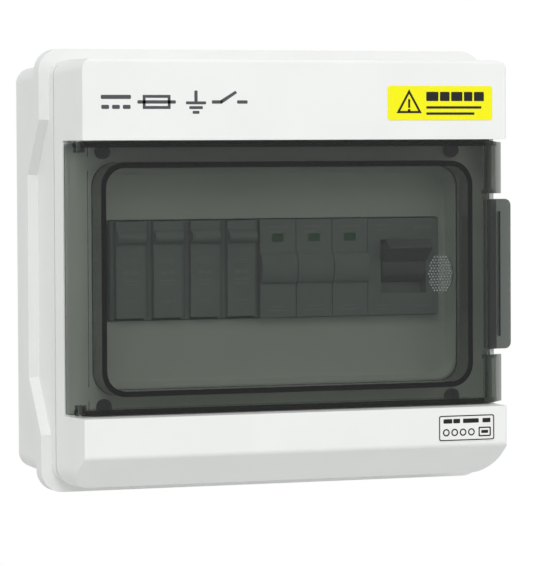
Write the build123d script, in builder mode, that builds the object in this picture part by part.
from build123d import *
import os

# DC combiner box: wall box with a smoked drop-in door over one row of DIN devices.
# Millimetres. Origin at the middle of the wall face, +Z up, front towards -Y.
# "Depth" always means the distance from the wall, so a depth d lies at Y = -d.

os.makedirs("parts", exist_ok=True)

# ---------------------------------------------------------------- driving sizes
box_width = 218.0          # over the rim of the base
box_height = 200.0
box_depth = 95.0           # wall to the flat front
rim_proud = 4.5            # how far the rim stands out of the base walls
body_width = box_width - 2 * rim_proud
body_radius = 7.0
half_width = body_width / 2
base_height = 189.4
base_draft = 2.3           # the tub narrows towards the wall, top and bottom
base_side_draft = 0.6
cover_height = 191.4
cover_centre = -0.9        # the cover hangs a little over the tub at the bottom
cover_top = cover_centre + cover_height / 2
cover_bottom = cover_centre - cover_height / 2
side_draft = 2.0           # the cover is this much narrower on each side at its front
edge_round = 1.8
wall = 2.6
back_wall = 3.0
joint_depth = 59.0         # base ends and cover begins
joint_gap = 1.4            # shadow line between base and cover

# rim round the base, set back in the middle of the sides for the fingers
rim_thick = 7.5
rim_corner_depth = 52.0
rim_middle_depth = 34.2
rim_middle_half = 46.0
rim_slope = 25.0

# door bay, door seat and device window in the cover
door_centre = -2.8
bay_height = 122.8
seat_depth = 69.0
seat_thick = 3.0
hinge_wall_depth = 70.6    # side walls of the bay, low beside the hinge
latch_wall_depth = 78.0
well_centre = -3.4
well_width = 174.0
well_height = 97.8
well_radius = 9.0
well_draft = 2.0           # the well is this much smaller all round at the panel
panel_depth = 62.2
module = 17.8
modules = 9
slot_width = module * modules + 3.0
slot_height = 45.8

# door, set back behind the bands
door_gap = 0.5
door_height = bay_height - 2 * door_gap
door_front = 84.9
door_plate = 2.4
door_fold = 96.9           # half width of the flat front
half_door = 106.1
door_edge_front = 80.5
door_edge_back = 79.1
door_back_depth = 70.4
door_end_wall = 2.6
door_end_draft = 1.2
collar_thick = 2.4
collar_centre = 2.1        # outside the edge of the well
hinge_x = -98.9
hinge_depth = 79.0
pin_radius = 1.2
pin_length = 9.0
knuckle_radius = 2.7
knuckle_length = 4.8
knuckle_floor = 0.6
pin_fit = 0.05

# finger latch
latch_height = 69.5
latch_slot = 2.6
latch_centre = -3.8

# cover screws
screw_x = 85.3
screw_rise = 57.2
screw_sites = [(-screw_x, well_centre - screw_rise), (screw_x, well_centre - screw_rise),
               (-screw_x, well_centre + screw_rise), (screw_x, well_centre + screw_rise)]
screw_head_depth = 67.0
screw_bore = 7.0
screw_shank = 1.9
pillar_radius = 4.8

# wall fixing
fixing_spacing_x = 180.0
fixing_spacing_z = 165.0
fixing_hole = 2.6

# rail and devices
rail_back = 9.0
rail_rise = 7.5
rail_thick = 1.0
rail_front = rail_back + rail_rise
rail_length = 186.0
rail_screw_x = 84.0
device_gap = 0.2
device_back = 12.0
shoulder_depth = 57.5
nose_depth = 66.5
nose_half = 22.3
terminal_rise = 34.0
terminal_floor = 48.0
terminal_radius = 2.8
wire_depth = 42.0
wire_radius = 3.3
wire_hole = 12.0
row_left = -module * modules / 2
fuse_count = 4
fuse_height = 84.0
spd_modules = 3
spd_height = 88.0
breaker_modules = 2
breaker_height = 86.0


def front(depth):
    """Plane parallel to the wall: local x is X, local y is Z, and extrusions run to the front."""
    return Plane(origin=(0, -depth, 0), x_dir=(1, 0, 0), z_dir=(0, -1, 0))


def side(x):
    """Plane across the width: local x is Y (minus the depth), local y is Z."""
    return Plane.YZ.offset(x)


def level(z):
    """Horizontal plane: local x is X, local y is Y (minus the depth)."""
    return Plane.XY.offset(z)


def keep(builder, name):
    """Label a finished piece and write it as its own STEP file."""
    builder.part.label = name
    export_step(builder.part, "parts/" + name + ".step")


# ---------------------------------------------------------------- base shell
# Tub with a stepped rim, four screw pillars, rail bosses, fixing holes and knock-outs.
rim_back_corner = rim_corner_depth - rim_thick
rim_back_middle = rim_middle_depth - rim_thick
rim_top = door_centre + rim_middle_half
rim_bottom = door_centre - rim_middle_half
reach = box_height / 2 + 1
rail_boss_radius = 5.0
rail_screw_radius = 1.9
knockout_radius = 10.0
knockout_groove = 0.8
knockout_cut = 2.0         # through the draft and 0.8 into the wall
knockout_sites = [(-66, -28), (-33, -28), (0, -28), (33, -28), (66, -28)]

def tub_block(inset, back, ahead):
    """Solid between two depths with the draft of the tub, inset all round by a wall."""
    with BuildPart() as block:
        for depth in (back, ahead):
            narrow = 1 - depth / joint_depth
            with BuildSketch(front(depth)):
                RectangleRounded(body_width - 2 * (base_side_draft * narrow + inset),
                                 base_height - 2 * (base_draft * narrow + inset), body_radius - inset)
        loft()
    return block.part


with BuildPart() as base_shell:
    with BuildSketch(front(rim_back_middle)):
        RectangleRounded(box_width, box_height, body_radius + 3)
    extrude(amount=rim_corner_depth - rim_back_middle)
    with BuildSketch(side(0)):
        Polygon(
            (-rim_corner_depth, reach), (-rim_corner_depth, rim_top + rim_slope),
            (-rim_middle_depth, rim_top), (-rim_middle_depth, rim_bottom),
            (-rim_corner_depth, rim_bottom - rim_slope), (-rim_corner_depth, -reach),
            (-rim_back_corner, -reach), (-rim_back_corner, rim_bottom - rim_slope),
            (-rim_back_middle, rim_bottom), (-rim_back_middle, rim_top),
            (-rim_back_corner, rim_top + rim_slope), (-rim_back_corner, reach), align=None)
    extrude(amount=box_width / 2, both=True, mode=Mode.INTERSECT)
    add(tub_block(0, 0, joint_depth))
    fillet(base_shell.faces().sort_by(Axis.Y)[-1].outer_wire().edges(), 1.5)
    add(tub_block(wall, back_wall, joint_depth), mode=Mode.SUBTRACT)
    # pillars for the cover screws
    with BuildSketch(front(back_wall)):
        with Locations(*screw_sites):
            Circle(pillar_radius)
    extrude(amount=joint_depth - back_wall)
    # bosses that carry the rail
    with BuildSketch(front(back_wall)):
        with Locations((-rail_screw_x, 0), (rail_screw_x, 0)):
            Circle(rail_boss_radius)
    extrude(amount=rail_back - back_wall)
    # screw holes in the pillars and bosses
    with BuildSketch(front(joint_depth - 20)):
        with Locations(*screw_sites):
            Circle(screw_shank)
    extrude(amount=20, mode=Mode.SUBTRACT)
    with BuildSketch(front(back_wall - 1)):
        with Locations((-rail_screw_x, 0), (rail_screw_x, 0)):
            Circle(rail_screw_radius)
    extrude(amount=rail_back, mode=Mode.SUBTRACT)
    # holes for the wall screws
    with BuildSketch(front(0)):
        with GridLocations(fixing_spacing_x, fixing_spacing_z, 2, 2):
            Circle(fixing_hole)
    extrude(amount=back_wall, mode=Mode.SUBTRACT)
    # scored knock-outs for glands in the lower and upper walls
    for wall_z in (-base_height / 2, base_height / 2 - knockout_cut):
        with BuildSketch(level(wall_z)):
            with Locations(*knockout_sites):
                Circle(knockout_radius)
                Circle(knockout_radius - knockout_groove, mode=Mode.SUBTRACT)
        extrude(amount=knockout_cut, mode=Mode.SUBTRACT)
keep(base_shell, "base_shell")


# ---------------------------------------------------------------- cover seal
# Flat foam frame between the base and the cover.
seal_inset = 1.4
seal_width = 1.0

with BuildPart() as cover_gasket:
    with BuildSketch(front(joint_depth)):
        RectangleRounded(body_width - 2 * seal_inset, base_height - 2 * seal_inset, body_radius - seal_inset)
        offset(amount=-seal_width, mode=Mode.SUBTRACT)
    extrude(amount=joint_gap)
keep(cover_gasket, "cover_gasket")


# ---------------------------------------------------------------- front cover
# Two raised bands with a bay between them for the door. Inside the bay a seat
# carries the door seal, and a well leads down to the panel with the device slot.
cover_back = joint_depth + joint_gap
bay_top = door_centre + bay_height / 2
bay_bottom = door_centre - bay_height / 2
seat_back = seat_depth - seat_thick
skin_depth = box_depth - wall
chin_z = -82.0             # the lower band slopes back from here
chin_depth = 73.0
chin_wall = 1.6
top_round = 1.8
chin_round = 3.0
front_radius = 5.0
lower_radius = 10.0
well_wall = 2.4
tube_radius = 5.6
pin_boss = 3.3
pin_boss_length = 8.0
seal_groove = 1.5
seal_gap = 0.8
gasket_width = 2.6
cavity_bottom = wall - base_height / 2
bay_side = half_width - wall - (seat_depth - cover_back) * side_draft / (box_depth - cover_back)


def drafted_block(inset, back):
    """Solid between back and the front plane, narrower at the front, inset all round by a wall."""
    with BuildPart() as block:
        for depth, width, upper_radius in (
                (back, body_width, body_radius), (box_depth, body_width - 2 * side_draft, front_radius)):
            with BuildSketch(front(depth)) as outline:
                with Locations((0, cover_centre)):
                    Rectangle(width - 2 * inset, cover_height - 2 * inset)
                fillet(outline.vertices().group_by(Axis.Y)[-1], upper_radius - inset)
                fillet(outline.vertices().group_by(Axis.Y)[0], lower_radius - inset)
        loft()
    return block.part


cover_block = drafted_block(0, cover_back)
cavity_block = drafted_block(wall, cover_back - 1)

with BuildPart() as cover_cavity:
    with BuildSketch(side(0)):
        Polygon(
            (-cover_back + 1, cover_top), (-skin_depth, cover_top),
            (-skin_depth, bay_top + wall), (-seat_back, bay_top + wall),
            (-seat_back, bay_bottom - wall), (-skin_depth, bay_bottom - wall),
            (-skin_depth, chin_z + chin_wall), (-chin_depth, cavity_bottom),
            (-cover_back + 1, cavity_bottom), align=None)
    extrude(amount=half_width, both=True)
    add(cavity_block, mode=Mode.INTERSECT)

with BuildPart() as front_cover:
    with BuildSketch(side(0)) as cover_side:
        Polygon(
            (-cover_back, cover_top), (-box_depth, cover_top), (-box_depth, chin_z),
            (-chin_depth, cover_bottom), (-cover_back, cover_bottom), align=None)
        fillet(cover_side.vertices().group_by(Axis.X)[0].sort_by(Axis.Y)[-1], top_round)
        fillet(cover_side.vertices().group_by(Axis.X)[0].sort_by(Axis.Y)[0], chin_round)
        fillet(cover_side.vertices().sort_by(Axis.Y)[0:2].sort_by(Axis.X)[0], chin_round)
    extrude(amount=half_width, both=True)
    add(cover_block, mode=Mode.INTERSECT)
    with BuildSketch(level(cover_bottom)) as cover_plan:
        Polygon(
            (-half_width, -cover_back), (half_width, -cover_back), (half_width - side_draft, -box_depth),
            (-half_width + side_draft, -box_depth), align=None)
        fillet(cover_plan.vertices().group_by(Axis.Y)[0], edge_round)
    extrude(amount=cover_height, mode=Mode.INTERSECT)
    # bay for the door, with low walls at its two sides
    with BuildSketch(front(seat_depth)):
        with Locations((0, door_centre)):
            Rectangle(2 * bay_side, bay_height)
    extrude(amount=box_depth, mode=Mode.SUBTRACT)
    for wall_x, wall_depth in ((-half_width, hinge_wall_depth), (half_width, latch_wall_depth)):
        with BuildSketch(front(wall_depth)):
            with Locations((wall_x, door_centre)):
                Rectangle(body_width, bay_height)
        extrude(amount=box_depth, mode=Mode.SUBTRACT)
    add(cover_cavity.part, mode=Mode.SUBTRACT)
    # wall of the well and screw tubes
    with BuildSketch(front(cover_back)):
        with Locations((0, well_centre)):
            RectangleRounded(well_width + 2 * well_wall, well_height + 2 * well_wall,
                             well_radius + well_wall)
        with Locations(*screw_sites):
            Circle(tube_radius)
    extrude(amount=seat_depth - cover_back)
    # bosses for the hinge pins behind the end walls of the bay
    for boss_z in (bay_top, bay_bottom - pin_boss_length):
        with BuildSketch(level(boss_z)):
            with Locations((hinge_x, -hinge_depth)):
                Circle(pin_boss)
                Rectangle(pin_boss, pin_boss, align=(Align.MAX, Align.CENTER))
        extrude(amount=pin_boss_length)
    # well with draft, and the slot for the devices
    with BuildSketch(front(panel_depth)):
        with Locations((0, well_centre)):
            RectangleRounded(well_width - 2 * well_draft, well_height - 2 * well_draft, well_radius - 1)
    with BuildSketch(front(seat_depth)):
        with Locations((0, well_centre)):
            RectangleRounded(well_width, well_height, well_radius)
    loft(mode=Mode.SUBTRACT)
    with BuildSketch(front(cover_back)):
        RectangleRounded(slot_width, slot_height, 1.5)
    extrude(amount=panel_depth, mode=Mode.SUBTRACT)
    # screw holes with a wide bore for head and plug
    with BuildSketch(front(cover_back)):
        with Locations(*screw_sites):
            Circle(screw_shank + 0.2)
    extrude(amount=seat_depth, mode=Mode.SUBTRACT)
    with BuildSketch(front(screw_head_depth - 2.8)):
        with Locations(*screw_sites):
            Circle(screw_bore / 2)
    extrude(amount=seat_depth, mode=Mode.SUBTRACT)
    # groove for the door seal
    with BuildSketch(front(seat_depth - seal_groove)):
        with Locations((0, well_centre)):
            RectangleRounded(well_width + 2 * (seal_gap + gasket_width),
                             well_height + 2 * (seal_gap + gasket_width), well_radius + 2)
            RectangleRounded(well_width + 2 * seal_gap, well_height + 2 * seal_gap,
                             well_radius, mode=Mode.SUBTRACT)
    extrude(amount=seal_groove, mode=Mode.SUBTRACT)
    # bores for the hinge pins
    with BuildSketch(level(bay_bottom - pin_length / 2)):
        with Locations((hinge_x, -hinge_depth)):
            Circle(pin_radius)
    extrude(amount=bay_height + pin_length, mode=Mode.SUBTRACT)
keep(front_cover, "front_cover")


# ---------------------------------------------------------------- cover screws and plugs
head_height = 2.8
screw_length = 22.0
head_radius = 3.4
plug_height = 3.4

with BuildPart() as cover_screws:
    with BuildSketch(front(screw_head_depth - head_height)):
        with Locations(*screw_sites):
            Circle(head_radius)
    extrude(amount=head_height)
    with BuildSketch(front(screw_head_depth - head_height)):
        with Locations(*screw_sites):
            Circle(screw_shank)
    extrude(amount=-screw_length)
    with BuildSketch(front(screw_head_depth - 1.2)):
        with Locations(*screw_sites):
            Rectangle(4.4, 1.0)
            Rectangle(1.0, 4.4)
    extrude(amount=2, mode=Mode.SUBTRACT)
keep(cover_screws, "cover_screws")

with BuildPart() as screw_plugs:
    with BuildSketch(front(screw_head_depth)):
        with Locations(*screw_sites):
            Circle(screw_bore / 2)
    extrude(amount=plug_height)
    with BuildSketch(front(screw_head_depth + plug_height - 0.6)):
        with Locations(*screw_sites):
            Circle(1.6)
    extrude(amount=1, mode=Mode.SUBTRACT)
keep(screw_plugs, "screw_plugs")


# ---------------------------------------------------------------- door seal
with BuildPart() as door_gasket:
    with BuildSketch(front(seat_depth - seal_groove)):
        with Locations((0, well_centre)):
            RectangleRounded(well_width + 2 * (seal_gap + gasket_width),
                             well_height + 2 * (seal_gap + gasket_width), well_radius + 2)
            RectangleRounded(well_width + 2 * seal_gap, well_height + 2 * seal_gap,
                             well_radius, mode=Mode.SUBTRACT)
    extrude(amount=seal_groove + 1.0)
keep(door_gasket, "door_gasket")


# ---------------------------------------------------------------- hinge pins
for pin_name, pin_z in (("hinge_pin_lower", bay_bottom), ("hinge_pin_upper", bay_top)):
    with BuildPart() as hinge_pin:
        with BuildSketch(level(pin_z - pin_length / 2)):
            with Locations((hinge_x, -hinge_depth)):
                Circle(pin_radius)
        extrude(amount=pin_length)
        chamfer(hinge_pin.edges().filter_by(GeomType.CIRCLE), 0.3)
    keep(hinge_pin, pin_name)


# ---------------------------------------------------------------- door
# Clear tray: a flat plate with bevelled sides, end walls at top and bottom, a
# collar that presses on the seal, and two knuckles at the left edge.
door_bottom = bay_bottom + door_gap
door_top = bay_top - door_gap
bevel_slope = (door_front - door_edge_front) / (half_door - door_fold)
bevel_drop = door_plate * (1 + bevel_slope ** 2) ** 0.5
plate_back = door_front - door_plate
inner_fold = door_fold - (bevel_drop - door_plate) / bevel_slope
inner_edge = door_fold + (door_front - bevel_drop - door_edge_back) / bevel_slope
end_wall_half = 97.0
end_wall_back = 71.2
latch_cut = door_fold + 0.3
lip_x = 97.2
lip_thick = 1.6
lip_back = 78.8
weld = 0.2                 # ribs run this far into the plate
cut_half = latch_height / 2 + latch_slot
cut_wall = 1.8
thumb_x = 73.3
thumb_z = -3.1
thumb_dish = 0.4

with BuildPart() as door_window:
    with BuildSketch(level(door_bottom)):
        Polygon(
            (-end_wall_half, -end_wall_back), (-end_wall_half, -door_edge_back),
            (-half_door, -door_edge_back), (-half_door, -door_edge_front), (-door_fold, -door_front),
            (door_fold, -door_front), (half_door, -door_edge_front), (half_door, -door_edge_back),
            (end_wall_half, -door_edge_back), (end_wall_half, -end_wall_back), align=None)
    extrude(amount=door_height)
    # top and bottom ends lean in towards the back
    with BuildSketch(side(-half_door)):
        Polygon(
            (-door_front, door_bottom), (-door_front, door_top),
            (-door_edge_back, door_top - door_end_draft),
            (-end_wall_back, door_top - door_end_draft), (-end_wall_back, door_bottom + door_end_draft),
            (-door_edge_back, door_bottom + door_end_draft), align=None)
    extrude(amount=2 * half_door, mode=Mode.INTERSECT)
    with BuildSketch(level(door_bottom + door_end_wall)):
        Polygon(
            (-inner_edge, -end_wall_back), (-inner_edge, -door_edge_back), (-inner_fold, -plate_back),
            (inner_fold, -plate_back), (inner_edge, -door_edge_back),
            (inner_edge, -end_wall_back), align=None)
    extrude(amount=door_height - 2 * door_end_wall, mode=Mode.SUBTRACT)
    # lip behind the right fold
    with BuildSketch(level(door_bottom + 1)):
        with Locations((lip_x, -lip_back)):
            Rectangle(lip_thick, plate_back + weld - lip_back, align=(Align.MIN, Align.MAX))
    extrude(amount=door_height - 2)
    # collar over the seal
    with BuildSketch(front(door_back_depth)):
        with Locations((0, well_centre)):
            RectangleRounded(well_width + 2 * collar_centre + collar_thick,
                             well_height + 2 * collar_centre + collar_thick, well_radius + 2)
            RectangleRounded(well_width + 2 * collar_centre - collar_thick,
                             well_height + 2 * collar_centre - collar_thick,
                             well_radius, mode=Mode.SUBTRACT)
    extrude(amount=plate_back - door_back_depth + weld)
    # knuckles with bores for the pins
    for knuckle_z in (door_bottom, door_top - knuckle_length):
        with BuildSketch(level(knuckle_z)):
            with Locations((hinge_x, -hinge_depth)):
                Circle(knuckle_radius)
        extrude(amount=knuckle_length)
    for bore_z in (door_bottom, door_top - knuckle_length + knuckle_floor):
        with BuildSketch(level(bore_z)):
            with Locations((hinge_x, -hinge_depth)):
                Circle(pin_radius + pin_fit)
        extrude(amount=knuckle_length - knuckle_floor, mode=Mode.SUBTRACT)
    # opening for the finger latch, closed off by a small wall above and below
    with BuildSketch(level(latch_centre - cut_half - cut_wall)):
        Polygon(
            (inner_fold, -plate_back), (half_door, -door_edge_front), (half_door, -door_edge_back),
            (inner_fold, -door_edge_back), align=None)
    extrude(amount=2 * (cut_half + cut_wall))
    with BuildSketch(front(end_wall_back)):
        with Locations((latch_cut, latch_centre)):
            Rectangle(half_door, 2 * cut_half, align=(Align.MIN, Align.CENTER))
    extrude(amount=box_depth, mode=Mode.SUBTRACT)
    with BuildSketch(front(end_wall_back)):
        with Locations((inner_fold, latch_centre)):
            Rectangle(latch_cut - inner_fold, 2 * cut_half, align=(Align.MIN, Align.CENTER))
    extrude(amount=plate_back - end_wall_back, mode=Mode.SUBTRACT)
    # dished thumb mark
    with BuildSketch(front(door_front - thumb_dish)):
        with Locations((thumb_x, thumb_z)):
            Ellipse(6.5, 9.5)
    extrude(amount=1, mode=Mode.SUBTRACT)
keep(door_window, "door_window")


# ---------------------------------------------------------------- finger latch
# Springy tab in the right edge of the door, with a hook leg beside the cover.
latch_root = latch_cut + 0.3
latch_bend = 103.2
latch_tip = 110.6
latch_thick = 2.4
root_depth = door_front - bevel_slope * (latch_root - door_fold)
bend_depth = door_front - bevel_slope * (latch_bend - door_fold)
tip_depth = bend_depth - 0.5
hook_x = 104.9
hook_thick = 1.0
hook_tip_depth = 73.5
hook_height = 58.0
hook_barb = 0.7

with BuildPart() as latch_tab:
    with BuildSketch(level(latch_centre - latch_height / 2)):
        Polygon(
            (latch_root, -root_depth), (latch_bend, -bend_depth), (latch_tip, -tip_depth),
            (latch_tip, -tip_depth + latch_thick), (latch_bend - 0.5, -bend_depth + bevel_drop),
            (latch_root, -root_depth + bevel_drop), align=None)
    extrude(amount=latch_height)
    fillet(latch_tab.edges().filter_by(Axis.Y).group_by(Axis.X)[-1], 3.0)
    with BuildSketch(level(latch_centre - latch_height / 2)):
        with Locations((latch_root, -lip_back)):
            Rectangle(lip_thick, plate_back - lip_back, align=(Align.MIN, Align.MAX))
    extrude(amount=latch_height)
    with BuildSketch(level(latch_centre - hook_height / 2)):
        Polygon(
            (hook_x, -tip_depth + 1), (hook_x + hook_thick, -tip_depth + 1),
            (hook_x + hook_thick, -hook_tip_depth), (hook_x, -hook_tip_depth),
            (hook_x - hook_barb, -hook_tip_depth - 1.5), (hook_x, -hook_tip_depth - 3), align=None)
    extrude(amount=hook_height)
keep(latch_tab, "latch_tab")


# ---------------------------------------------------------------- labels on the bands
label_thick = 0.2
for label_name, label_x, label_z, label_w, label_h in (
        ("warning_label", 69.0, 75.1, 52.0, 15.6), ("rating_label", 81.7, -73.7, 28.5, 12.4)):
    with BuildPart() as label:
        with BuildSketch(front(box_depth)):
            with Locations((label_x, label_z)):
                RectangleRounded(label_w, label_h, 1.2)
        extrude(amount=label_thick)
    keep(label, label_name)


# ---------------------------------------------------------------- rail
hat_half = 13.5
flange_half = 17.5

with BuildPart() as din_rail:
    with BuildSketch(side(-rail_length / 2)):
        Polygon(
            (-rail_back, -hat_half), (-rail_back, hat_half), (-rail_front + rail_thick, hat_half),
            (-rail_front + rail_thick, flange_half), (-rail_front, flange_half),
            (-rail_front, hat_half - rail_thick), (-rail_back - rail_thick, hat_half - rail_thick),
            (-rail_back - rail_thick, -hat_half + rail_thick), (-rail_front, -hat_half + rail_thick),
            (-rail_front, -flange_half), (-rail_front + rail_thick, -flange_half),
            (-rail_front + rail_thick, -hat_half), align=None)
    extrude(amount=rail_length)
    with BuildSketch(front(rail_back)):
        with Locations((-rail_screw_x, 0), (rail_screw_x, 0)):
            SlotOverall(8, 4.4)
    extrude(amount=rail_thick, mode=Mode.SUBTRACT)
keep(din_rail, "din_rail")

with BuildPart() as rail_screws:
    with BuildSketch(front(rail_back + rail_thick)):
        with Locations((-rail_screw_x, 0), (rail_screw_x, 0)):
            Circle(3.6)
    extrude(amount=2.4)
    with BuildSketch(front(back_wall)):
        with Locations((-rail_screw_x, 0), (rail_screw_x, 0)):
            Circle(rail_screw_radius - 0.05)
    extrude(amount=rail_back - back_wall + rail_thick)
    with BuildSketch(front(rail_back + rail_thick + 1.4)):
        with Locations((-rail_screw_x, 0), (rail_screw_x, 0)):
            Rectangle(4.6, 0.9)
            Rectangle(0.9, 4.6)
    extrude(amount=2, mode=Mode.SUBTRACT)
keep(rail_screws, "rail_screws")


# ---------------------------------------------------------------- devices on the rail
# Every housing straddles the rail: a fixed lip above, a sliding clip below.
lip = 15.6
lip_front = 15.2
leg = 17.9


def housing_outline(half_height, nose):
    """Side outline of a rail device from its back at the wall to its nose, given as (Y, Z)."""
    return [
        (-device_back, -half_height), (-shoulder_depth, -half_height), (-shoulder_depth, -nose_half),
        (-nose, -nose_half), (-nose, nose_half), (-shoulder_depth, nose_half),
        (-shoulder_depth, half_height), (-device_back, half_height), (-device_back, lip),
        (-lip_front, lip), (-lip_front, leg), (-rail_front, leg), (-rail_front, -leg), (-device_back, -leg)]


def terminal_holes(centres, half_height):
    """Screw holes in the front shoulders and wire holes in both ends, at the given X centres."""
    with BuildPart() as holes:
        with BuildSketch(front(terminal_floor)):
            with Locations(*[(x, z) for x in centres for z in (-terminal_rise, terminal_rise)]):
                Circle(terminal_radius)
        extrude(amount=shoulder_depth)
        for end_z in (-half_height, half_height - wire_hole):
            with BuildSketch(level(end_z)):
                with Locations(*[(x, -wire_depth) for x in centres]):
                    Circle(wire_radius)
            extrude(amount=wire_hole)
    return holes.part


def terminal_screws(centres, name):
    """Slotted clamp screws at the bottom of the screw holes, one solid each."""
    sites = [(x, z) for x in centres for z in (-terminal_rise, terminal_rise)]
    with BuildPart() as screws:
        with BuildSketch(front(terminal_floor)):
            with Locations(*sites):
                Circle(terminal_radius - 0.3)
        extrude(amount=7)
        with BuildSketch(front(terminal_floor + 6)):
            with Locations(*sites):
                Rectangle(2 * terminal_radius, 0.9)
        extrude(amount=2, mode=Mode.SUBTRACT)
    keep(screws, name)


fuse_centres = [row_left + module * (i + 0.5) for i in range(fuse_count)]
spd_left = row_left + module * fuse_count
spd_centres = [spd_left + module * (i + 0.5) for i in range(spd_modules)]
breaker_left = spd_left + module * spd_modules
breaker_centres = [breaker_left + module * (i + 0.5) for i in range(breaker_modules)]
breaker_x = breaker_left + module * breaker_modules / 2


# fuse holders: a housing with two cheeks, a hinged carrier and a 10 x 38 link
cheek_depth = 64.0
pocket_half = 6.9
pocket_depth = 40.0
pocket_rise = 22.8
carrier_half = 6.7
carrier_back = 46.0
carrier_low = -21.4
pivot_z = -17.0
pivot_depth = 61.0
carrier_reach = 39.2       # far end is an arc about the pivot, so it clears the pocket
trunnion_radius = 1.4
fuse_radius = 5.15
fuse_length = 38.0
fuse_depth = 53.0
cap_length = 10.0

for i, x in enumerate(fuse_centres, start=1):
    fuse_holes = terminal_holes([x], fuse_height / 2)
    with BuildPart() as fuse_holder:
        with BuildSketch(side(x - module / 2 + device_gap / 2)):
            Polygon(*housing_outline(fuse_height / 2, cheek_depth), align=None)
        extrude(amount=module - device_gap)
        with BuildSketch(front(pocket_depth)):
            with Locations((x, 0)):
                Rectangle(2 * pocket_half, 2 * pocket_rise)
        extrude(amount=shoulder_depth, mode=Mode.SUBTRACT)
        add(fuse_holes, mode=Mode.SUBTRACT)
        with BuildSketch(side(x - module / 2)):
            with Locations((-pivot_depth, pivot_z)):
                Circle(trunnion_radius + pin_fit)
        extrude(amount=module, mode=Mode.SUBTRACT)
    keep(fuse_holder, "fuse_holder_" + str(i))

    with BuildPart() as fuse_carrier:
        with BuildSketch(side(x - carrier_half)):
            with Locations((-pivot_depth, pivot_z)):
                Circle(carrier_reach)
            with Locations((-nose_depth, carrier_low)):
                Rectangle(nose_depth - carrier_back, nose_half - carrier_low, align=(Align.MIN, Align.MIN),
                          mode=Mode.INTERSECT)
            with Locations((-nose_depth, 15)):
                Ellipse(3.5, 3)
        extrude(amount=2 * carrier_half)
        with BuildSketch(front(carrier_back - 1)):
            with Locations((x, 0)):
                Rectangle(2 * fuse_radius, fuse_length)
        extrude(amount=fuse_depth - carrier_back + 1, mode=Mode.SUBTRACT)
        with BuildSketch(level(-fuse_length / 2)):
            with Locations((x, -fuse_depth)):
                Circle(fuse_radius)
        extrude(amount=fuse_length, mode=Mode.SUBTRACT)
        with BuildSketch(side(x - module / 2 + 0.5)):
            with Locations((-pivot_depth, pivot_z)):
                Circle(trunnion_radius)
        extrude(amount=module - 1)
    keep(fuse_carrier, "fuse_carrier_" + str(i))

    with BuildPart() as fuse_link:
        for cap_z in (-fuse_length / 2, fuse_length / 2 - cap_length):
            with BuildSketch(level(cap_z)):
                with Locations((x, -fuse_depth)):
                    Circle(fuse_radius)
            extrude(amount=cap_length)
        with BuildSketch(level(-fuse_length / 2 + 1)):
            with Locations((x, -fuse_depth)):
                Circle(fuse_radius - 0.35)
        extrude(amount=fuse_length - 2)
    keep(fuse_link, "fuse_link_" + str(i))

terminal_screws(fuse_centres, "fuse_terminal_screws")


# surge protector: a socket base and three pull-out cartridges
socket_floor = 32.0
socket_half = 22.9
cartridge_back = 32.4
cartridge_half = 22.4
cartridge_gap = 0.4
blade_rise = 13.0
blade_length = 6.0
blade_thick = 1.6
spd_width = module * spd_modules - device_gap

spd_holes = terminal_holes(spd_centres, spd_height / 2)

with BuildPart() as spd_base:
    with BuildSketch(side(spd_left + device_gap / 2)):
        Polygon(*housing_outline(spd_height / 2, nose_depth), align=None)
    extrude(amount=spd_width)
    with BuildSketch(side(spd_left)):
        with Locations((-socket_floor, 0)):
            Rectangle(nose_depth, 2 * socket_half, align=(Align.MAX, Align.CENTER))
    extrude(amount=module * spd_modules, mode=Mode.SUBTRACT)
    add(spd_holes, mode=Mode.SUBTRACT)
    with BuildSketch(front(socket_floor - blade_length)):
        with Locations(*[(x, z) for x in spd_centres for z in (-blade_rise, blade_rise)]):
            Rectangle(9.0, blade_thick + 0.6)
    extrude(amount=blade_length, mode=Mode.SUBTRACT)
keep(spd_base, "spd_base")

for i, x in enumerate(spd_centres, start=1):
    with BuildPart() as cartridge:
        with BuildSketch(side(x - module / 2 + cartridge_gap / 2)):
            with Locations((-cartridge_back, 0)):
                Rectangle(nose_depth - cartridge_back, 2 * cartridge_half, align=(Align.MAX, Align.CENTER))
            with Locations((-nose_depth, 0)):
                Ellipse(3.0, 7.0)
        extrude(amount=module - cartridge_gap)
        with BuildSketch(front(cartridge_back)):
            with Locations((x, -blade_rise), (x, blade_rise)):
                Rectangle(8.0, blade_thick)
        extrude(amount=-blade_length + 0.8)
        # window for the state flag
        with BuildSketch(front(nose_depth - 0.6)):
            with Locations((x, 14)):
                Rectangle(6, 4)
        extrude(amount=1, mode=Mode.SUBTRACT)
    keep(cartridge, "spd_cartridge_" + str(i))

terminal_screws(spd_centres, "spd_terminal_screws")


# two-pole breaker with one handle bar for both poles
toggle_depth = 60.5
toggle_hub = 7.0
toggle_gap = 0.4
toggle_half = 11.0
toggle_angle = 38.0
lever_length = 17.5
lever_thick = 5.0

breaker_holes = terminal_holes(breaker_centres, breaker_height / 2)

with BuildPart() as breaker_body:
    with BuildSketch(side(breaker_left + device_gap / 2)):
        Polygon(*housing_outline(breaker_height / 2, nose_depth), align=None)
    extrude(amount=module * breaker_modules - device_gap)
    with BuildSketch(side(breaker_x - toggle_half - toggle_gap)):
        with Locations((-toggle_depth, 0)):
            Circle(toggle_hub + toggle_gap)
            Rectangle(toggle_hub + 2, 25, align=(Align.MAX, Align.CENTER))
    extrude(amount=2 * (toggle_half + toggle_gap), mode=Mode.SUBTRACT)
    add(breaker_holes, mode=Mode.SUBTRACT)
keep(breaker_body, "breaker_body")

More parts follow.
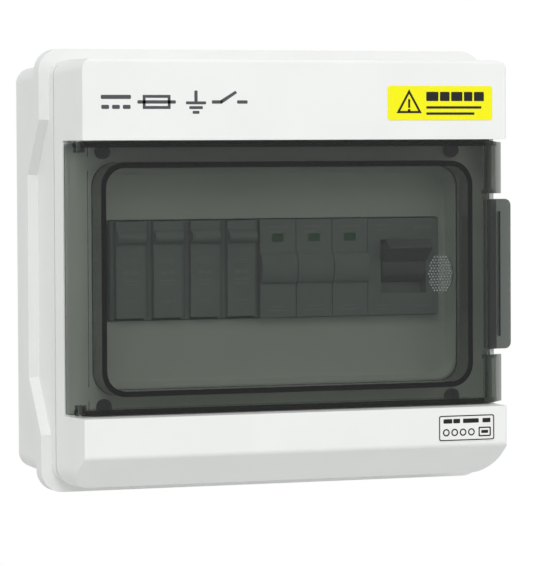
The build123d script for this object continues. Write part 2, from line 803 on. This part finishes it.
with BuildPart() as breaker_toggle:
    with BuildSketch(side(breaker_x - toggle_half)):
        with Locations((-toggle_depth, 0)):
            Circle(toggle_hub)
            Rectangle(lever_length, lever_thick, rotation=180 - toggle_angle,
                      align=(Align.MIN, Align.CENTER))
    extrude(amount=2 * toggle_half)
    fillet(breaker_toggle.edges().filter_by(Axis.X).group_by(Axis.Y)[0], 1.0)
keep(breaker_toggle, "breaker_toggle")

terminal_screws(breaker_centres, "breaker_terminal_screws")


# sliding clips that hook the devices on the lower edge of the rail
clip_low = -46.0
clip_back = 10.0

with BuildPart() as rail_clips:
    for x in fuse_centres + [spd_centres[1]] + breaker_centres:
        with BuildSketch(side(x - 4)):
            Polygon(
                (-device_back, clip_low), (-clip_back, clip_low), (-clip_back, -lip), (-lip_front, -lip),
                (-lip_front, -leg), (-device_back, -leg), align=None)
        extrude(amount=8)
keep(rail_clips, "rail_clips")


# ---------------------------------------------------------------- wiring inside
# Copper comb over the fuse outputs and the first surge module.
comb_centres = fuse_centres + [spd_centres[0]]
comb_thick = 2.0
comb_low = 46.0
comb_high = 53.0
finger_width = 4.0
finger_low = 32.0
comb_left = comb_centres[0] - 4
comb_right = comb_centres[-1] + 7

with BuildPart() as comb_busbar:
    with BuildSketch(front(wire_depth - comb_thick / 2)):
        with Locations((comb_left, comb_low)):
            Rectangle(comb_right - comb_left, comb_high - comb_low, align=(Align.MIN, Align.MIN))
        with Locations(*[(x, finger_low) for x in comb_centres]):
            Rectangle(finger_width, comb_low - finger_low + 1, align=(Align.CENTER, Align.MIN))
    extrude(amount=comb_thick)
keep(comb_busbar, "comb_busbar")

# earth bar on two feet at the bottom of the base
bar_left = -52.0
bar_right = 26.0
bar_z = -74.0
bar_side = 7.0
bar_back = 11.0
foot_width = 8.0
earth_screw_pitch = 10.0
earth_screw_count = 6

with BuildPart() as earth_bar:
    with BuildSketch(front(bar_back)):
        with Locations((bar_left, bar_z)):
            Rectangle(bar_right - bar_left, bar_side, align=(Align.MIN, Align.CENTER))
    extrude(amount=bar_side)
keep(earth_bar, "earth_bar")

with BuildPart() as earth_bar_feet:
    with BuildSketch(front(back_wall)):
        with Locations((bar_left + foot_width, bar_z), (bar_right - foot_width, bar_z)):
            Rectangle(foot_width, 12)
    extrude(amount=bar_back - back_wall)
keep(earth_bar_feet, "earth_bar_feet")

earth_sites = [(bar_left + 8 + earth_screw_pitch * i, bar_z) for i in range(earth_screw_count)]

with BuildPart() as earth_bar_screws:
    with BuildSketch(front(bar_back + bar_side)):
        with Locations(*earth_sites):
            Circle(2.9)
    extrude(amount=2.4)
    with BuildSketch(front(bar_back + bar_side + 1.4)):
        with Locations(*earth_sites):
            Rectangle(6, 0.8)
    extrude(amount=2, mode=Mode.SUBTRACT)
keep(earth_bar_screws, "earth_bar_screws")

# insulated leads between the devices, straight runs with round bends
lead_radius = 2.2
lead_bend = 9.0
lead_end = 33.0
positive_z = 60.0
negative_z = -60.0
comb_middle = (comb_low + comb_high) / 2
lead_routes = {
    "positive_lead": [(comb_right, comb_middle), (comb_right + 15, comb_middle),
                      (breaker_centres[0] - 20, positive_z), (breaker_centres[0], positive_z),
                      (breaker_centres[0], lead_end)],
    "negative_lead": [(spd_centres[2], -lead_end), (spd_centres[2], negative_z),
                      (breaker_centres[1], negative_z), (breaker_centres[1], -lead_end)]}

for lead_name, route in lead_routes.items():
    points = [(x, -wire_depth, z) for x, z in route]
    with BuildPart() as lead:
        with BuildLine() as lead_path:
            FilletPolyline(*points, radius=lead_bend)
        with BuildSketch(Plane(origin=lead_path.line @ 0, z_dir=lead_path.line % 0)):
            Circle(lead_radius)
        sweep()
    keep(lead, lead_name)

with BuildPart() as earth_lead:
    with BuildLine() as earth_path:
        FilletPolyline(
            (spd_centres[1], -wire_depth, -lead_end), (spd_centres[1], -wire_depth, bar_z),
            (spd_centres[1], -bar_back - bar_side, bar_z), radius=lead_bend)
    with BuildSketch(Plane(origin=earth_path.line @ 0, z_dir=earth_path.line % 0)):
        Circle(lead_radius)
    sweep()
keep(earth_lead, "earth_lead")
